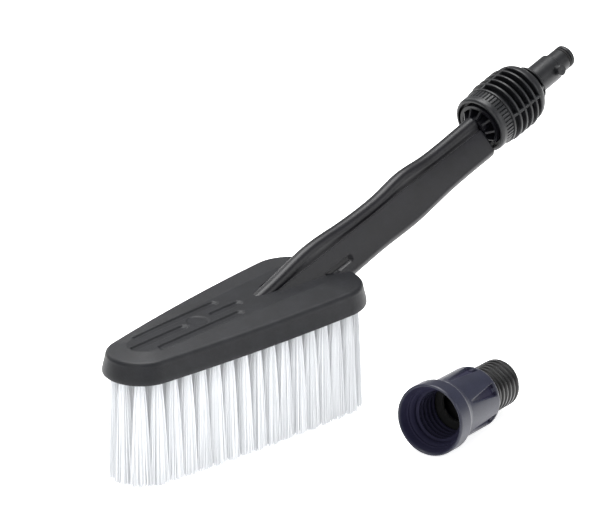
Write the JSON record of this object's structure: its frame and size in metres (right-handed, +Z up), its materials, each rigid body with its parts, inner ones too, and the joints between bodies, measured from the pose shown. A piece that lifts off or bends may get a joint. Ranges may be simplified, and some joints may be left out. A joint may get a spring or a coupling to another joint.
{
  "type": "wheel brush",
  "caption": "Water-fed wash brush: tapered head with upright bristles, hollow handle rising at an angle, screw-on bayonet connector with a ringed grip, and a loose swivelling thread adapter.",
  "frame": {"origin": "on the floor under the middle of the head, at the tips of the bristles that stand there", "axes": "+X along the head from its nose to its rear, towards the handle; +Y to the side away from the loose adapter; +Z up"},
  "size_m": [0.4138, 0.1699, 0.1579],
  "materials": {
    "cover_plastic": "satin moulded grain",
    "handle_plastic": "semi-gloss",
    "plate_plastic": "satin",
    "tube_plastic": "satin",
    "seal_rubber": "matt",
    "screw_steel": "zinc plated",
    "anchor_steel": "plain wire",
    "bristle": "translucent nylon filament",
    "connector_plastic": "satin",
    "nipple_plastic": "glossy",
    "bell_plastic": "semi-gloss"
  },
  "bodies": {
    "brush_body": {"head_cover": "cover_plastic", "handle_top_shell": "handle_plastic", "handle_bottom_shell": "handle_plastic", "handle_coupler": "handle_plastic", "water_tube": "tube_plastic", "tube_seal_upper": "seal_rubber", "tube_seal_lower": "seal_rubber", "bristle_plate": "plate_plastic", "plate_gasket": "seal_rubber", "plate_screws": "screw_steel", "tufts_outer_row": "bristle", "tufts_second_row": "bristle", "tufts_inner_rows": "bristle", "tuft_anchors": "anchor_steel"},
    "washer": {"seal_washer": "seal_rubber"},
    "connector": {"bayonet_spigot": "connector_plastic", "grip_cage": "connector_plastic", "spigot_o_ring": "seal_rubber"},
    "adapter_bell_body": {"adapter_bell": "bell_plastic", "adapter_seat_seal": "seal_rubber"},
    "adapter_nipple_body": {"adapter_nipple": "nipple_plastic", "adapter_swivel_seal": "seal_rubber"}
  },
  "joints": [
    {"name": "connector_travel", "type": "slide", "parent": "brush_body", "child": "washer", "axis": [0.9659, 0, 0.2588], "range_m": [0, 0.012]},
    {"name": "connector_turn", "type": "hinge", "parent": "washer", "child": "connector", "pos_m": [0.24049, 0, 0.13128], "axis": [0.9659, 0, 0.2588], "range_deg": [0, 1440]},
    {"name": "adapter_lift", "type": "slide", "parent": "brush_body", "child": "adapter_bell_body", "axis": [0, 0, 1], "range_m": [0, 0.1]},
    {"name": "adapter_swivel", "type": "hinge", "parent": "adapter_bell_body", "child": "adapter_nipple_body", "pos_m": [0.10309, -0.10115, 0.0189], "axis": [0.9847, 0.156, -0.0777], "continuous": true}
  ],
  "couplings": [
    {"joint": "connector_travel", "follows": "connector_turn", "m_per_rad": 0.00047746}
  ]
}
